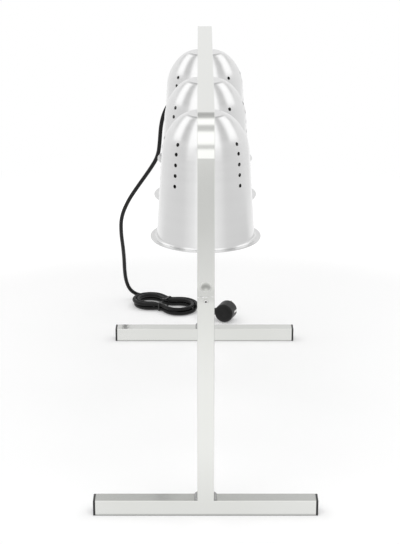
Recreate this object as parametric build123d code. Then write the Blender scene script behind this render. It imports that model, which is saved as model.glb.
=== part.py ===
from build123d import *
import math
import os

# Food heat lamp: three spun shades hang from a bent square-tube frame on two T-shaped feet.
# Millimetres. The origin is on the table, midway between the feet. X runs along a foot,
# Y along the row of lamps towards the back, Z is up.

# Stand
LENGTH = 746.0          # over the outer faces of the two legs
HEIGHT = 612.0
TUBE = 25.0             # side of every square tube
WALL = 1.5
TUBE_EDGE = 0.8
BORE_EDGE = 0.5
FOOT_LENGTH = 340.0     # over its two end caps
CAP_HEAD = 3.5
CAP_CORNER = 1.4
CAP_ROUND = 1.0
CAP_DEPTH = 14.0
CAP_WALL = 2.0
BEND_OUTSIDE = 54.0     # outside radius of the two bends
WELD = 4.0
WELD_LENGTH = 20.0
SLIP = 0.1              # clearance of a piece that slides into a tube or hole, each side
OVERCUT = 1.0           # how far a cutter stands out of what it cuts

# Leg joint
JOINT_Z = 352.0
SPIGOT_DOWN = 46.0
SPIGOT_UP = 44.0
SPIGOT_EDGE = 1.0
SCREW_Z = 344.6
SCREW_R = 2.0
SCREW_ROOM = 0.15       # radial clearance of the screw in the outer tube
SCREW_HEAD_R = 3.6
SCREW_HEAD = 2.2
SCREW_HEAD_ROUND = 1.2
SCREW_LENGTH = 9.0
SCREW_RECESS_R = 1.3
SCREW_RECESS = 1.4
CRIMP_Z = 367.0
CRIMP_R = 6.5           # half width of the pressed dimple
CRIMP_DEPTH = 2.0
CRIMP_ROOM = 1.0        # between the dimple and the edge of its hole in the spigot

# Lamp heads: name, place along the row and how far the shade stands turned
LAMP_PITCH = 223.0
LAMPS = [("front", -LAMP_PITCH, 3.0), ("middle", 0.0, -6.0), ("rear", LAMP_PITCH, -3.5)]
PLAY = 0.3              # between a lamp head and the bar that it turns on
SHEET = 1.2             # thickness of the spun aluminium
CROWN_R = 26.0
CROWN_SLOPE = -0.15     # of the sheet where the crown turns into the shoulder
CROWN_ROOM = 0.2        # radial clearance of the crown's hole
SHOULDER = [(37.0, 582.3), (47.0, 573.4), (56.0, 561.0), (62.0, 548.3), (65.3, 533.0)]
SHOULDER_HUB_Z = 510.0  # the shoulder is round about this height on the axis
WALL_TOP = (66.7, 513.0)
FLANGE_Z = 396.0
FLANGE_R = 83.5
WALL_FOOT_R = 74.2
FLANGE_BEND = 3.0
VENT_R = 2.9
VENT_DRILL = 30.0
VENT_ROWS = 8
VENTS = [(552.2, 20.0), (536.5, 8.0), (520.2, 4.5), (504.2, 3.7), (488.1, 3.7)]
NIPPLE_R = 5.0
NIPPLE_BORE = 3.7
NIPPLE_TOP = 597.0
NIPPLE_FOOT = 577.0
NIPPLE_ROOM = 0.5       # below its end in the holder
FIT = 0.05              # radial clearance of a turning fit
NUT_ACROSS = 14.0
NUT = 4.0
WASHER_R = 9.3
WASHER = 1.1
WASHER_PLAY = 0.2       # between the washer and the bar's inside

# Lamp holder and heat bulb
HOLDER_R = 21.0
HOLDER_FOOT = 540.0
HOLDER_FLOOR = 572.0
HOLDER_ROUND = 3.0
SHELL_R = 15.4
SHELL_BORE = 13.5
SHELL_FOOT = 545.0
CONTACT_R = 4.5
CONTACT = 1.0
LEAD_R = 1.35
LEAD_X = 2.25
LEAD_TOP = 599.5
CAP_R = 13.1
CAP_END = 2.0           # thickness of the cap's closed end
CAP_SHOULDER = 3.0
CAP_SHOULDER_R = 12.6
BULB_CAP_FOOT = 543.0
BULB_CAP_TOP = 566.0
BULB_TIP = 570.6
BULB_FACE = 398.5
BULB_R = 62.5
BULB_WIDEST = 424.0
BULB_RIM = (54.0, 405.5)
BULB_CONE = [(59.0, 444.0), (50.0, 466.0), (38.5, 490.0), (27.5, 510.0), (18.5, 528.0)]
BULB_NECK_R = 12.0
BULB_NECK_FOOT = 541.0
BULB_NECK_TOP = 553.0
GLASS = 1.2
STEM_R = 4.0
STEM_FOOT = 508.0
STEM_TOP = 551.0
STEM_COLLAR = 3.0
SUPPORT_R = 0.8
SUPPORT_X = 2.0
SUPPORT_TOP = 510.0
SUPPORT_SPREAD = (500.0, 480.0)   # heights between which the two wires part
SUPPORT_BEND = 5.0
FILAMENT_R = 14.0
FILAMENT_Z = 452.0
FILAMENT_WIRE_R = 0.9

# Wiring inside the frame
GLAND_Z = 476.0
GLAND_R = 6.0
GLAND_SLEEVE = 20.0     # how far it stands out of the leg
GLAND_ACROSS = 17.0     # across the flats of its hexagon
GLAND_FLANGE = 4.0
GLAND_CAP_R = 7.4
GLAND_CAP = 9.0         # where the round cap ends and the tapered sleeve starts
GLAND_TAPER_R = 6.4
GLAND_TIP_WALL = 1.1
GLAND_GROOVES = [(11.5, 5.1), (14.7, 4.9), (17.9, 4.7)]   # place along the sleeve, radius left
GLAND_GROOVE = 1.2
GLAND_THREAD = 4.5
GLAND_NUT_ACROSS = 16.0
GLAND_NUT = 2.8
CORD_R = 3.75
SHEATH_END = -8.0       # where the sheath ends inside the leg
CORE_R = 1.3
CORE_Z = 604.5
CORE_RISE = 26.0        # height in which a core swings over to its lane in the leg
CORE_BENDS = [5.0, 12.0]
CORE_DROP_BEND = 6.0
LIVE = (0.0, -1.7, 1.0)       # each core's lane across the tube, then its place in the sheath's end
NEUTRAL = (4.5, 1.7, 1.0)
EARTH = (8.8, 0.0, -1.9)
BLOCK = (14.0, 22.0, 9.0)
BLOCK_Z = 600.0
BLOCK_SCREWS = (3.5, 5.5)     # from the block's middle along X and Y
BLOCK_SCREW_R = 1.6
BLOCK_SCREW_DEPTH = 2.5
TAG = (13.0, 8.0, 0.8)
TAG_X = 4.0
TAG_Y = 288.0
TAG_NUT_ACROSS = 7.0
TAG_NUT = 3.0
TAG_BARREL_R = 1.9
TAG_BARREL = 1.6

# Cord: from the gland down behind the stand, along the table into a tied hank, then the plug
CORD_ROUTE = [
    (-32.5, 360.5, 476.0), (-45.0, 360.5, 476.0), (-57.5, 361.3, 470.6), (-68.0, 363.5, 457.5),
    (-76.8, 367.5, 437.0), (-81.3, 373.5, 413.0), (-83.3, 383.0, 384.0), (-87.0, 396.0, 353.0),
    (-102.5, 411.0, 323.5), (-124.5, 430.0, 288.0), (-147.0, 451.5, 249.5), (-162.0, 473.5, 209.0),
    (-163.5, 496.0, 169.0), (-161.0, 519.0, 132.0), (-160.3, 540.0, 101.0), (-160.5, 557.5, 69.5),
    (-158.5, 570.5, 44.0), (-152.5, 579.0, 23.7), (-140.5, 585.5, 10.5),
]
BEND_SHARE = 0.45       # of the shorter run beside a corner, which its bend takes up
ROUTE_LEAD_IN = 18.0    # last run of the route, straight into the hank
HANK_CENTRE = (-80.5, 531.0)
HANK_TURN = -27.0       # of its long axis from X
HANK_END = 33.0         # from the waist to the middle of an end loop
HANK_SIDE = 41.0        # from the long axis to the middle of a waist bend
HANK_INNER = 22.5       # bend radius of the innermost end loop
HANK_STEP = 8.2
HANK_LAYER = 8.0
HANK_RUNS = [1.5, 1.0, 0.5, 0.0, 0.5, 1.0, 1.5]   # steps outward, rear and front runs in turn
HANK_CLIMB = 3          # the run that climbs to the upper layer
HANK_START = 80.0       # where the cord comes in, degrees round the left end
HANK_LEAVE = 27.0       # where it goes out, degrees round the right end
HANK_SETTLE = 0.25      # steps that the first and last half loops stand further out
TIE = 1.0
TIE_WIDTH = 2.6
TIE_ROOM = 0.2
TIE_BEND = 3.2
TIE_HEAD = (5.0, 3.6, 5.0)
TIE_HEAD_PLACE = -6.0
FLOOR_GAP = 0.3         # under the tie
LEAD_OUT = 20.0         # from the hank straight on, then a bend, then straight into the plug
LEAD_BEND = 19.5
PLUG_TURN = -20.0
PLUG_CENTRE = (36.5, 445.0)   # middle of its back
PLUG_R = 18.5
PLUG_LIFT = 0.2
PLUG_BACK_ROUND = 6.0
PLUG_FACE = 32.0
PLUG_FACE_ROUND = 1.5
PLUG_BOOT = 28.0
PLUG_BOOT_START = 10.0
PLUG_BOOT_R = 9.0
PLUG_BOOT_WALL = 1.4
PLUG_BOOT_Z = 11.0
PLUG_PIN_R = 2.4
PLUG_PIN_ROUND = 1.6
PLUG_PIN = 19.0
PLUG_PIN_DEPTH = 10.0
PLUG_PIN_GAP = 19.0
PLUG_EARTH_R = 2.6
PLUG_EARTH_DEPTH = 16.0
PLUG_EARTH_X = 10.0
CLIP = (1.0, 5.6, 15.6)
CLIP_INSET = 1.45
CLIP_SLOT = (2.0, 6.0, 16.1)
CLIP_DOWN = 8.0         # from the plug's face to a clip's middle

# Worked out from the sizes above
LEG_Y = (LENGTH - TUBE) / 2
BAR_Z = HEIGHT - TUBE / 2
BAR_UNDER = HEIGHT - TUBE
BORE = TUBE - 2 * WALL
FOOT_TUBE = FOOT_LENGTH - 2 * CAP_HEAD
BEND = BEND_OUTSIDE - TUBE / 2
CROWN_Z = BAR_UNDER - PLAY
CRIMP_BALL = (CRIMP_R**2 + CRIMP_DEPTH**2) / (2 * CRIMP_DEPTH)
CORD_FLOOR = CORD_R + TIE + FLOOR_GAP
BAR_FLOOR = BAR_UNDER + WALL      # the lower wall's inner face
WASHER_FOOT = BAR_FLOOR + WASHER_PLAY

nodes = {}


def upright(radius, low, high, x=0.0, y=0.0):
    """A round bar along Z."""
    return Pos(x, y, (low + high) / 2) * Cylinder(radius, high - low)


def hexagon(across, low, high, bore, y):
    """A hexagon nut along Z."""
    blank = extrude(Pos(0, y, low) * RegularPolygon(across / 2, 6, major_radius=False), amount=high - low)
    return blank - upright(bore, low, high, y=y)


def tube_section(plane):
    """The hollow square section of the stand's tube."""
    outside = RectangleRounded(TUBE, TUBE, TUBE_EDGE)
    return plane * (outside - RectangleRounded(BORE, BORE, BORE_EDGE))


def joined(lines):
    """One wire from lines and curves that meet end to end."""
    return Wire([edge for line in lines for edge in line.edges()])


def turned(lines, y):
    """A solid of revolution about a lamp's upright axis, from an (r, z) outline."""
    profile = make_face(Plane.XZ * joined(lines))
    return Pos(0, y, 0) * revolve(profile, Axis.Z)


def wire_along(path, radius):
    """A round tube along a path."""
    start = Plane(path @ 0, z_dir=path % 0)
    return sweep(start * Circle(radius), path=path)


# Feet, caps and lower legs
def foot_tube(y):
    plane = Plane((-FOOT_TUBE / 2, y, TUBE / 2), x_dir=(0, 1, 0), z_dir=(1, 0, 0))
    return extrude(tube_section(plane), amount=FOOT_TUBE)


def end_cap(x_side, y):
    plane = Plane((x_side * FOOT_TUBE / 2, y, TUBE / 2), x_dir=(0, 1, 0), z_dir=(x_side, 0, 0))
    head = extrude(plane * RectangleRounded(TUBE, TUBE, CAP_CORNER), amount=CAP_HEAD)
    outer = head.faces().sort_by(Axis.X)[-1 if x_side > 0 else 0]
    head = fillet(outer.edges(), CAP_ROUND)
    width = BORE - 2 * SLIP
    hollow = width - 2 * CAP_WALL
    stem = RectangleRounded(width, width, BORE_EDGE) - Rectangle(hollow, hollow)
    return head + extrude(plane * stem, amount=-CAP_DEPTH)


def outer_hole(side, z, radius, depth):
    """A drill through the outer wall of a leg, from its outer face inwards."""
    y = side * (LEG_Y + TUBE / 2 - depth / 2)
    return Pos(0, y, z) * Rot(90, 0, 0) * Cylinder(radius, depth)


def lower_leg(side):
    """A tube on the foot, with a weld bead at each side and ground welds in front and behind."""
    y = side * LEG_Y
    leg = extrude(tube_section(Plane((0, y, TUBE))), amount=JOINT_Z - TUBE)
    for x_side in (-1, 1):
        edge = Plane((x_side * TUBE / 2, y, TUBE), x_dir=(x_side, 0, 0), z_dir=(0, -x_side, 0))
        bead = make_face(edge * Polyline((0, 0), (WELD, 0), (0, WELD), (0, 0)))
        leg += extrude(bead, amount=WELD_LENGTH / 2, both=True)
    for y_side in (-1, 1):
        groove = Pos(0, y + y_side * (TUBE - TUBE_EDGE) / 2, TUBE - TUBE_EDGE / 2)
        leg += groove * Box(TUBE - 2 * TUBE_EDGE, TUBE_EDGE, TUBE_EDGE) - foot_tube(y)
    return leg - outer_hole(side, SCREW_Z, SCREW_R + SCREW_ROOM, 2 * WALL)


def spigot(side):
    width = BORE - 2 * SLIP
    low = JOINT_Z - SPIGOT_DOWN
    section = RectangleRounded(width, width, SPIGOT_EDGE) - Rectangle(width - 2 * WALL, width - 2 * WALL)
    sleeve = extrude(Pos(0, side * LEG_Y, low) * section, amount=SPIGOT_DOWN + SPIGOT_UP)
    sleeve -= outer_hole(side, SCREW_Z, SCREW_R + FIT, TUBE / 2)
    return sleeve - outer_hole(side, CRIMP_Z, CRIMP_R + CRIMP_ROOM, TUBE / 2)


def joint_screw(side):
    face = side * (LEG_Y + TUBE / 2)
    along = Plane((0, face, SCREW_Z), x_dir=(1, 0, 0), z_dir=(0, side, 0))
    head = extrude(along * Circle(SCREW_HEAD_R), amount=SCREW_HEAD)
    head = fillet(head.edges().sort_by(Axis.Y)[-1 if side > 0 else 0], SCREW_HEAD_ROUND)
    crown = along.offset(SCREW_HEAD)
    head -= extrude(crown * RegularPolygon(SCREW_RECESS_R, 6), amount=-SCREW_RECESS)
    return head + extrude(along * Circle(SCREW_R), amount=-SCREW_LENGTH)


def top_frame():
    corners = [(0, -LEG_Y, JOINT_Z), (0, -LEG_Y, BAR_Z), (0, LEG_Y, BAR_Z), (0, LEG_Y, JOINT_Z)]
    path = FilletPolyline(*corners, radius=BEND)
    frame = sweep(tube_section(Plane(corners[0])), path=path)
    for side in (-1, 1):
        ball = Pos(0, side * (LEG_Y + TUBE / 2 + CRIMP_BALL - CRIMP_DEPTH), CRIMP_Z)
        inside = Pos(0, side * (LEG_Y + BORE / 4), CRIMP_Z) * Box(BORE, BORE / 2, BORE)
        frame += (ball * Sphere(CRIMP_BALL + WALL)) & inside
        frame -= ball * Sphere(CRIMP_BALL)
    for _, y, _ in LAMPS:
        frame -= upright(NIPPLE_R + FIT, BAR_UNDER - OVERCUT, BAR_FLOOR + OVERCUT, y=y)
    gland_hole = Pos(-TUBE / 2, LEG_Y, GLAND_Z) * Rot(0, 90, 0)
    return frame - gland_hole * Cylinder(GLAND_R + SLIP, 4 * WALL)


# Lamp heads
def lamp_shade(y, turn):
    """One spun sheet: flat crown, round shoulder, flared wall and a flat rim, with rows of vents."""
    top_out, top_in = CROWN_Z, CROWN_Z - SHEET
    rim_out, rim_in = FLANGE_Z + SHEET, FLANGE_Z
    hole = NIPPLE_R + CROWN_ROOM
    flare = (WALL_FOOT_R - WALL_TOP[0], rim_out - WALL_TOP[1])
    outside = [(CROWN_R, top_out), *SHOULDER, WALL_TOP]
    inside = [(CROWN_R - SHEET / 3, top_in)]
    for r, z in SHOULDER:
        lean = math.atan2(z - SHOULDER_HUB_Z, r)
        inside.append((r - SHEET * math.cos(lean), z - SHEET * math.sin(lean)))
    inside.append((WALL_TOP[0] - SHEET, WALL_TOP[1]))
    ends = [(1, CROWN_SLOPE), flare]
    outline = [
        Line((hole, top_in), (hole, top_out)),
        Line((hole, top_out), outside[0]),
        Spline(*outside, tangents=ends),
        FilletPolyline(WALL_TOP, (WALL_FOOT_R, rim_out), (FLANGE_R, rim_out), radius=FLANGE_BEND),
        Line((FLANGE_R, rim_out), (FLANGE_R, rim_in)),
        FilletPolyline(inside[-1], (WALL_FOOT_R - SHEET, rim_in), (FLANGE_R, rim_in),
                       radius=FLANGE_BEND + SHEET),
        Spline(*inside, tangents=ends),
        Line(inside[0], (hole, top_in)),
    ]
    shade = turned(outline, y)
    drills = []
    for row in range(VENT_ROWS):
        for z, tilt in VENTS:
            aim = Rot(0, 0, turn - 90 + row * 360 / VENT_ROWS) * Pos(WALL_TOP[0], 0, 0)
            drills.append(Pos(0, y, z) * aim * Rot(0, 90 - tilt, 0) * Cylinder(VENT_R, VENT_DRILL))
    return shade - drills


def nipple(y):
    return upright(NIPPLE_R, NIPPLE_FOOT, NIPPLE_TOP, y=y) - upright(NIPPLE_BORE, 0, HEIGHT, y=y)


def lock_washer(y):
    ring = upright(WASHER_R, WASHER_FOOT, WASHER_FOOT + WASHER, y=y)
    return ring - upright(NIPPLE_R + FIT, 0, HEIGHT, y=y)


def lock_nut(y):
    low = WASHER_FOOT + WASHER
    return hexagon(NUT_ACROSS, low, low + NUT, NIPPLE_R + FIT, y)


def lamp_holder(y):
    top = CROWN_Z - SHEET
    body = upright(HOLDER_R, HOLDER_FOOT, top, y=y)
    body = fillet(body.edges().group_by(Axis.Z)[-1], HOLDER_ROUND)
    body -= upright(SHELL_R + FIT, HOLDER_FOOT - OVERCUT, HOLDER_FLOOR, y=y)
    body -= upright(NIPPLE_R + FIT, NIPPLE_FOOT - NIPPLE_ROOM, top + OVERCUT, y=y)
    for x in (-LEAD_X, LEAD_X):
        body -= upright(LEAD_R + SLIP, HOLDER_FLOOR - OVERCUT, NIPPLE_FOOT, x, y)
    return body


def screw_shell(y):
    return upright(SHELL_R, SHELL_FOOT, HOLDER_FLOOR, y=y) - upright(SHELL_BORE, 0, HEIGHT, y=y)


def centre_contact(y):
    return upright(CONTACT_R, HOLDER_FLOOR - CONTACT, HOLDER_FLOOR, y=y)


def lamp_leads(y):
    pair = [upright(LEAD_R, HOLDER_FLOOR, LEAD_TOP, x, y) for x in (-LEAD_X, LEAD_X)]
    return Compound(children=pair)


def bulb_glass(y):
    """A hollow reflector bulb: a low domed face, a wide belly and a tapering neck."""
    def body(inset):
        neck = BULB_NECK_R - inset
        cone = [(r - inset, z) for r, z in BULB_CONE]
        widest = (BULB_R - inset, BULB_WIDEST)
        rim = (BULB_RIM[0] - inset, BULB_RIM[1] + inset)
        face = BULB_FACE + inset
        low_rim = (BULB_RIM[0] / 2, face + (rim[1] - face) / 4)
        outline = [
            ThreePointArc((0, face), low_rim, rim),
            Spline(rim, widest, *cone, tangents=[(1, 0.5), (-0.5, 1)]),
            Polyline(cone[-1], (neck, BULB_NECK_FOOT), (neck, BULB_NECK_TOP), (0, BULB_NECK_TOP), (0, face)),
        ]
        return turned(outline, y)
    return body(0.0) - body(GLASS)


def bulb_cap(y):
    cap = upright(CAP_R, BULB_CAP_FOOT, BULB_CAP_TOP, y=y)
    cap += Pos(0, y, BULB_CAP_TOP + CAP_SHOULDER / 2) * Cone(CAP_SHOULDER_R, CONTACT_R, CAP_SHOULDER)
    cap += upright(CONTACT_R, BULB_CAP_TOP + CAP_SHOULDER, BULB_TIP, y=y)
    return cap - upright(BULB_NECK_R + FIT, BULB_CAP_FOOT - OVERCUT, BULB_CAP_TOP - CAP_END, y=y)


def bulb_filament(y):
    """Glass stem in the neck, two support wires and the ring of heating wire."""
    stem = upright(STEM_R, STEM_FOOT, STEM_TOP, y=y)
    stem += upright(BULB_NECK_R - GLASS - FIT, STEM_TOP - STEM_COLLAR, STEM_TOP, y=y)
    upper, lower = SUPPORT_SPREAD
    for x in (-1, 1):
        path = FilletPolyline((SUPPORT_X * x, y, SUPPORT_TOP), (SUPPORT_X * x, y, upper),
                              (FILAMENT_R * x, y, lower), (FILAMENT_R * x, y, FILAMENT_Z),
                              radius=SUPPORT_BEND)
        stem += wire_along(path, SUPPORT_R)
    return stem + Pos(0, y, FILAMENT_Z) * Torus(FILAMENT_R, FILAMENT_WIRE_R)


# Wiring inside the frame
def cord_gland():
    """Hexagon flange, round cap and tapered sleeve on the side of the rear leg."""
    face = -TUBE / 2
    along = Pos(face, LEG_Y, GLAND_Z) * Rot(0, -90, 0)
    body = extrude(RegularPolygon(GLAND_ACROSS / 2, 6, major_radius=False), amount=GLAND_FLANGE)
    body += upright(GLAND_CAP_R, GLAND_FLANGE, GLAND_CAP)
    sleeve = Cone(GLAND_TAPER_R, CORD_R + GLAND_TIP_WALL, GLAND_SLEEVE - GLAND_CAP)
    body += Pos(0, 0, (GLAND_CAP + GLAND_SLEEVE) / 2) * sleeve
    for place, left in GLAND_GROOVES:
        body -= Pos(0, 0, place) * (Cylinder(GLAND_CAP_R, GLAND_GROOVE) - Cylinder(left, GLAND_GROOVE))
    body += upright(GLAND_R, -GLAND_THREAD, 0)
    return along * (body - upright(CORD_R + SLIP, -TUBE, 2 * GLAND_SLEEVE))


def gland_nut():
    along = Pos(-TUBE / 2 + WALL, LEG_Y, GLAND_Z) * Rot(0, 90, 0)
    blank = extrude(RegularPolygon(GLAND_NUT_ACROSS / 2, 6, major_radius=False), amount=GLAND_NUT)
    return along * (blank - Cylinder(GLAND_R + FIT, TUBE))


def cord_inner_end():
    """The end of the sheath inside the gland, where its cores fan out."""
    tip = -TUBE / 2 - GLAND_SLEEVE
    middle = Pos((tip + SHEATH_END) / 2, LEG_Y, GLAND_Z)
    return middle * Rot(0, 90, 0) * Cylinder(CORD_R, SHEATH_END - tip)


def riser(core, end_y, drop=None):
    """A core from the sheath's end up the leg and round the bend into the bar."""
    x, dy, dz = core
    y, z = LEG_Y + dy, GLAND_Z + dz
    lane = LEG_Y + CORE_Z - BAR_Z
    points = [(SHEATH_END, y, z), (x, y, z), (x, lane, GLAND_Z + CORE_RISE), (x, lane, CORE_Z),
              (x, end_y, CORE_Z)]
    radii = [*CORE_BENDS, BEND + CORE_Z - BAR_Z]
    if drop is not None:
        points.append((x, end_y, drop))
        radii.append(CORE_DROP_BEND)
    return wire_along(FilletPolyline(*points, radius=radii), CORE_R)


def lamp_core(core):
    """One supply core: up from the cord and from each terminal block to the next."""
    x = core[0]
    half = BLOCK[1] / 2
    runs = [riser(core, LAMP_PITCH + half)]
    for centre in (LAMP_PITCH / 2, -LAMP_PITCH / 2):
        run = Pos(x, centre, CORE_Z) * Rot(90, 0, 0) * Cylinder(CORE_R, LAMP_PITCH - 2 * half)
        runs.append(run)
    return Compound(children=runs)


def terminal_blocks():
    top = BLOCK_Z + BLOCK[2]
    blocks = []
    for _, y, _ in LAMPS:
        block = Pos(0, y, BLOCK_Z + BLOCK[2] / 2) * Box(*BLOCK)
        screw_x, screw_y = BLOCK_SCREWS
        for x in (-screw_x, screw_x):
            for step in (-screw_y, screw_y):
                block -= upright(BLOCK_SCREW_R, top - BLOCK_SCREW_DEPTH, HEIGHT, x, y + step)
        blocks.append(block)
    return Compound(children=blocks)


def earth_tag():
    top = BAR_FLOOR + TAG[2]
    plate = Pos(TAG_X, TAG_Y, (BAR_FLOOR + top) / 2) * Box(*TAG)
    nut = RegularPolygon(TAG_NUT_ACROSS / 2, 6, major_radius=False)
    plate += Pos(0, TAG_Y, top) * extrude(nut, amount=TAG_NUT)
    return plate + upright(TAG_BARREL_R, top, top + TAG_BARREL, EARTH[0], TAG_Y)


# Cord, hank and plug
def route_radii(points):
    """The largest bend that each corner of a route leaves room for."""
    radii = []
    for before, corner, after in zip(points, points[1:], points[2:]):
        run_in = Vector(*corner) - Vector(*before)
        run_out = Vector(*after) - Vector(*corner)
        half_turn = math.radians(run_in.get_angle(run_out)) / 2
        radii.append(BEND_SHARE * min(run_in.length, run_out.length) / math.tan(half_turn))
    return radii


def biarc(start, start_dir, end, end_dir):
    """Two tangent arcs that join two points and their directions."""
    across = end - start
    total = start_dir + end_dir
    spread = 2 * (1 - start_dir.dot(end_dir))
    lean = across.dot(total)
    if spread < 1e-9:
        reach = across.dot(across) / (4 * across.dot(end_dir))
    else:
        reach = (-lean + math.sqrt(lean**2 + spread * across.dot(across))) / spread
    middle = (start + end + (start_dir - end_dir) * reach) * 0.5
    middle_dir = (end - end_dir * reach) - (start + start_dir * reach)
    return [TangentArc(start, middle, tangent=start_dir), TangentArc(middle, end, tangent=middle_dir)]


def hank_place(u, w, z):
    turn = math.radians(HANK_TURN)
    x = HANK_CENTRE[0] + u * math.cos(turn) - w * math.sin(turn)
    y = HANK_CENTRE[1] + u * math.sin(turn) + w * math.cos(turn)
    return Vector(x, y, z)


def hank_heading(u, w, rise=0.0):
    return (hank_place(u, w, rise) - hank_place(0, 0, 0)).normalized()


def hank_end(end, degrees, steps, z):
    """A point and direction on an end loop: end is -1 at the left, 1 at the right."""
    radius = HANK_INNER + steps * HANK_STEP
    angle = math.radians(degrees)
    point = hank_place(end * (HANK_END + radius * math.cos(angle)), radius * math.sin(angle), z)
    return point, hank_heading(math.sin(angle), -end * math.cos(angle))


def hank_path():
    """Three loops drawn in at the waist: in along the lower layer and out along the upper one."""
    reach = math.hypot(HANK_END, HANK_SIDE)
    loop_angle = 180 - math.degrees(math.atan2(HANK_SIDE, HANK_END))
    low, high = CORD_FLOOR, CORD_FLOOR + HANK_LAYER
    start_steps = HANK_RUNS[0] + HANK_SETTLE * (1 - HANK_START / loop_angle)
    knots = [hank_end(-1, HANK_START, start_steps, low)]
    for run, steps in enumerate(HANK_RUNS):
        side = 1 if run % 2 == 0 else -1
        z_in = low if run <= HANK_CLIMB else high
        z_out = low if run < HANK_CLIMB else high
        bend = reach - HANK_INNER - steps * HANK_STEP
        u = side * bend * HANK_END / reach
        w = side * (HANK_SIDE - bend * HANK_SIDE / reach)
        ahead = side * HANK_SIDE
        inward = side * HANK_END
        half_run = bend * math.atan2(HANK_END, HANK_SIDE)
        rise = (z_out - z_in) / half_run
        knots.append((hank_place(-u, w, z_in), hank_heading(ahead, -inward)))
        waist = hank_place(0, side * (HANK_SIDE - bend), (z_in + z_out) / 2)
        knots.append((waist, hank_heading(side, 0, rise)))
        knots.append((hank_place(u, w, z_out), hank_heading(ahead, inward)))
        if run + 1 < len(HANK_RUNS):
            between = (steps + HANK_RUNS[run + 1]) / 2
            tip = hank_place(side * (HANK_END + HANK_INNER + between * HANK_STEP), 0, z_out)
            knots.append((tip, hank_heading(0, -side)))
    leave_steps = HANK_RUNS[-1] + HANK_SETTLE * (1 - HANK_LEAVE / loop_angle)
    knots.append(hank_end(1, HANK_LEAVE, leave_steps, high))
    first, first_dir = knots[0]
    last, last_dir = knots[-1]
    edges = [Line(first - first_dir * 2 * CORD_R, first)]
    for (start, start_dir), (end, end_dir) in zip(knots, knots[1:]):
        edges += biarc(start, start_dir, end, end_dir)
    edges.append(Line(last, last + last_dir * 2 * CORD_R))
    return joined(edges)


def least_gap(path, diameter):
    """The narrowest gap between turns of a wound tube, measured on points along it."""
    count = 900
    spacing = path.length / count
    skip = int(4 * diameter / spacing)
    points = [tuple(path.position_at(i / count)) for i in range(count + 1)]
    gaps = [math.dist(points[i], points[j]) for i in range(count) for j in range(i + skip, count + 1)]
    return min(gaps) - diameter


def plug_place(out):
    """A point on the line of the plug's boot, so far out from the plug's axis."""
    turn = math.radians(PLUG_TURN)
    x = PLUG_CENTRE[0] - out * math.cos(turn) - PLUG_BOOT_Z * math.sin(turn)
    y = PLUG_CENTRE[1] - out * math.sin(turn) + PLUG_BOOT_Z * math.cos(turn)
    return (x, y, PLUG_R + PLUG_LIFT)


def plug_frame():
    """From the plug standing on its back to the plug lying on its side, pins away."""
    return Pos(*PLUG_CENTRE, PLUG_R + PLUG_LIFT) * Rot(0, 0, PLUG_TURN) * Rot(-90, 0, 0)


def plug_body():
    """A round angled plug lying on its side, with its boot towards the hank."""
    body = upright(PLUG_R, 0, PLUG_FACE)
    body = fillet(body.edges().group_by(Axis.Z)[-1], PLUG_FACE_ROUND)
    body = fillet(body.edges().group_by(Axis.Z)[0], PLUG_BACK_ROUND)
    boot = Pos(-(PLUG_BOOT_START + PLUG_BOOT) / 2, 0, PLUG_BOOT_Z) * Rot(0, -90, 0)
    body += boot * Cone(PLUG_BOOT_R, CORD_R + PLUG_BOOT_WALL, PLUG_BOOT - PLUG_BOOT_START)
    above = PLUG_FACE + OVERCUT
    for side in (-1, 1):
        body -= upright(PLUG_PIN_R + FIT, PLUG_FACE - PLUG_PIN_DEPTH, above, 0, side * PLUG_PIN_GAP / 2)
        body -= Pos(side * (PLUG_R - CLIP_SLOT[0] / 2), 0, PLUG_FACE - CLIP_DOWN) * Box(*CLIP_SLOT)
    body -= upright(PLUG_EARTH_R, PLUG_FACE - PLUG_EARTH_DEPTH, above, PLUG_EARTH_X, 0)
    return plug_frame() * body


def plug_pins():
    pins = []
    for side in (-1, 1):
        top = PLUG_FACE + PLUG_PIN
        pin = upright(PLUG_PIN_R, PLUG_FACE - PLUG_PIN_DEPTH, top, 0, side * PLUG_PIN_GAP / 2)
        pins.append(plug_frame() * fillet(pin.edges().group_by(Axis.Z)[-1], PLUG_PIN_ROUND))
    return Compound(children=pins)


def plug_earth_clips():
    clips = []
    for side in (-1, 1):
        clip = Pos(side * (PLUG_R - CLIP_INSET), 0, PLUG_FACE - CLIP_DOWN) * Box(*CLIP)
        clips.append(plug_frame() * clip)
    return Compound(children=clips)


def cable_tie():
    """A narrow strap round the hank's waist, with its square head on top."""
    reach = math.hypot(HANK_END, HANK_SIDE)
    columns = []
    for run, steps in enumerate(HANK_RUNS):
        side = 1 if run % 2 == 0 else -1
        columns.append(side * (HANK_SIDE - (reach - HANK_INNER - steps * HANK_STEP)))
    around = CORD_R + TIE_ROOM
    left = min(columns) - around
    right = max(columns) + around
    low = CORD_FLOOR - around
    high = CORD_FLOOR + HANK_LAYER + around
    plane = Plane(hank_place(0, (left + right) / 2, (low + high) / 2), x_dir=hank_heading(0, 1),
                  z_dir=hank_heading(1, 0))
    width, height = right - left, high - low
    ring = RectangleRounded(width + 2 * TIE, height + 2 * TIE, TIE_BEND + TIE)
    ring -= RectangleRounded(width, height, TIE_BEND)
    strap = extrude(plane * ring, amount=TIE_WIDTH / 2, both=True)
    head = Pos(TIE_HEAD_PLACE, height / 2 + TIE + TIE_HEAD[1] / 2, 0) * Box(*TIE_HEAD)
    return strap + plane * head


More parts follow.
